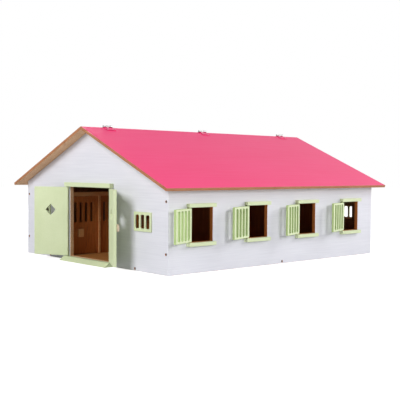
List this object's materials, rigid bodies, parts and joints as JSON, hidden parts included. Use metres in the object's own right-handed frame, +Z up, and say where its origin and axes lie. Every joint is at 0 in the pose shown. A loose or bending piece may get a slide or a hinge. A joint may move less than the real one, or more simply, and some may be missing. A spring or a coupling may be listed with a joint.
{
  "type": "toy stable",
  "caption": "Wooden toy stable with a lift-up roof panel, swinging front doors, slotted window shutters, and gated stalls along a central aisle.",
  "frame": {"origin": "middle of the floor plate's underside, at ground level", "axes": "+X to the right across the front gable, +Y from the front gable to the rear gable, +Z up"},
  "size_m": [0.6083, 0.7495, 0.3099],
  "materials": {
    "white_board": "white laminated fibreboard with a faint grain",
    "pink_board": "satin pink paint on fibreboard, with raw brown edges",
    "green_paint": "satin pale green paint",
    "brown_board": "brown fibreboard",
    "pale_wood": "pale turned wood",
    "zinc_steel": "zinc plated"
  },
  "bodies": {
    "house": {"floor_plate": "brown_board", "front_gable_wall": "white_board", "rear_gable_wall": "white_board", "right_side_wall": "white_board", "left_side_wall": "white_board", "left_roof_panel": "pink_board", "ridge_hinge_fixed_leaf_1": "zinc_steel", "ridge_hinge_fixed_leaf_2": "zinc_steel", "ridge_hinge_fixed_leaf_3": "zinc_steel", "door_lintel": "green_paint", "door_ramp": "green_paint", "front_left_grille": "green_paint", "front_right_grille": "green_paint", "rear_left_grille": "green_paint", "rear_right_grille": "green_paint", "right_window_upper_rail_1": "green_paint", "right_window_upper_rail_2": "green_paint", "right_window_upper_rail_3": "green_paint", "right_window_upper_rail_4": "green_paint", "right_window_lower_rail_1": "green_paint", "right_window_lower_rail_2": "green_paint", "right_window_lower_rail_3": "green_paint", "right_window_lower_rail_4": "green_paint", "left_window_upper_rail_1": "green_paint", "left_window_upper_rail_2": "green_paint", "left_window_upper_rail_3": "green_paint", "left_window_lower_rail_1": "green_paint", "left_window_lower_rail_2": "green_paint", "left_window_lower_rail_3": "green_paint", "right_stall_front": "brown_board", "left_stall_front": "brown_board", "right_partition_1": "brown_board", "right_partition_2": "brown_board", "right_partition_3": "brown_board", "left_partition_1": "brown_board", "left_partition_2": "brown_board", "left_partition_3": "brown_board"},
    "roof_lid": {"right_roof_panel": "pink_board", "ridge_hinge_moving_leaf_1": "zinc_steel", "ridge_hinge_moving_leaf_2": "zinc_steel", "ridge_hinge_moving_leaf_3": "zinc_steel"},
    "left_door_leaf": {"left_door": "green_paint", "left_door_knob": "pale_wood"},
    "right_door_leaf": {"right_door": "green_paint", "right_door_knob": "pale_wood"},
    "right_shutter_leaf_1": {"right_shutter_1": "green_paint"},
    "right_shutter_leaf_2": {"right_shutter_2": "green_paint"},
    "right_shutter_leaf_3": {"right_shutter_3": "green_paint"},
    "right_shutter_leaf_4": {"right_shutter_4": "green_paint"},
    "left_shutter_leaf_1": {"left_shutter_1": "green_paint"},
    "left_shutter_leaf_2": {"left_shutter_2": "green_paint"},
    "left_shutter_leaf_3": {"left_shutter_3": "green_paint"},
    "right_gate_leaf_1": {"right_stall_gate_1": "brown_board"},
    "right_gate_leaf_2": {"right_stall_gate_2": "brown_board"},
    "right_gate_leaf_3": {"right_stall_gate_3": "brown_board"},
    "right_gate_leaf_4": {"right_stall_gate_4": "brown_board"},
    "left_gate_leaf_1": {"left_stall_gate_1": "brown_board"},
    "left_gate_leaf_2": {"left_stall_gate_2": "brown_board"},
    "left_gate_leaf_3": {"left_stall_gate_3": "brown_board"}
  },
  "joints": [
    {"name": "roof_lift", "type": "hinge", "parent": "house", "child": "roof_lid", "pos_m": [0, 0, 0.30774], "axis": [0, -1, 0], "range_deg": [0, 227]},
    {"name": "left_door_swing", "type": "hinge", "parent": "house", "child": "left_door_leaf", "pos_m": [-0.0865, -0.3428, 0.09], "axis": [0, 0, 1], "range_deg": [-19.5, 152.5]},
    {"name": "right_door_swing", "type": "hinge", "parent": "house", "child": "right_door_leaf", "pos_m": [0.0865, -0.3428, 0.09], "axis": [0, 0, -1], "range_deg": [-21, 151]},
    {"name": "right_shutter_swing_1", "type": "hinge", "parent": "house", "child": "right_shutter_leaf_1", "pos_m": [0.28002, -0.2854, 0.099], "axis": [0, 0, 1], "range_deg": [-19, 157]},
    {"name": "right_shutter_swing_2", "type": "hinge", "parent": "house", "child": "right_shutter_leaf_2", "pos_m": [0.28002, -0.1195, 0.099], "axis": [0, 0, 1], "range_deg": [-14.5, 161.5]},
    {"name": "right_shutter_swing_3", "type": "hinge", "parent": "house", "child": "right_shutter_leaf_3", "pos_m": [0.28002, 0.0464, 0.099], "axis": [0, 0, 1], "range_deg": [-15, 161]},
    {"name": "right_shutter_swing_4", "type": "hinge", "parent": "house", "child": "right_shutter_leaf_4", "pos_m": [0.28002, 0.2123, 0.099], "axis": [0, 0, 1], "range_deg": [-13.5, 162.5]},
    {"name": "left_shutter_swing_1", "type": "hinge", "parent": "house", "child": "left_shutter_leaf_1", "pos_m": [-0.28002, -0.2774, 0.099], "axis": [0, 0, 1], "range_deg": [0, 176]},
    {"name": "left_shutter_swing_2", "type": "hinge", "parent": "house", "child": "left_shutter_leaf_2", "pos_m": [-0.28002, -0.1115, 0.099], "axis": [0, 0, 1], "range_deg": [0, 176]},
    {"name": "left_shutter_swing_3", "type": "hinge", "parent": "house", "child": "left_shutter_leaf_3", "pos_m": [-0.28002, 0.0544, 0.099], "axis": [0, 0, 1], "range_deg": [0, 176]},
    {"name": "right_gate_swing_1", "type": "hinge", "parent": "house", "child": "right_gate_leaf_1", "pos_m": [0.097, -0.2616, 0.078], "axis": [0, 0, -1], "range_deg": [0, 120]},
    {"name": "right_gate_swing_2", "type": "hinge", "parent": "house", "child": "right_gate_leaf_2", "pos_m": [0.097, -0.10005, 0.078], "axis": [0, 0, -1], "range_deg": [0, 120]},
    {"name": "right_gate_swing_3", "type": "hinge", "parent": "house", "child": "right_gate_leaf_3", "pos_m": [0.097, 0.06585, 0.078], "axis": [0, 0, -1], "range_deg": [0, 120]},
    {"name": "right_gate_swing_4", "type": "hinge", "parent": "house", "child": "right_gate_leaf_4", "pos_m": [0.097, 0.23175, 0.078], "axis": [0, 0, -1], "range_deg": [0, 120]},
    {"name": "left_gate_swing_1", "type": "hinge", "parent": "house", "child": "left_gate_leaf_1", "pos_m": [-0.097, -0.2616, 0.078], "axis": [0, 0, 1], "range_deg": [0, 120]},
    {"name": "left_gate_swing_2", "type": "hinge", "parent": "house", "child": "left_gate_leaf_2", "pos_m": [-0.097, -0.10005, 0.078], "axis": [0, 0, 1], "range_deg": [0, 120]},
    {"name": "left_gate_swing_3", "type": "hinge", "parent": "house", "child": "left_gate_leaf_3", "pos_m": [-0.097, 0.06585, 0.078], "axis": [0, 0, 1], "range_deg": [0, 120]}
  ]
}
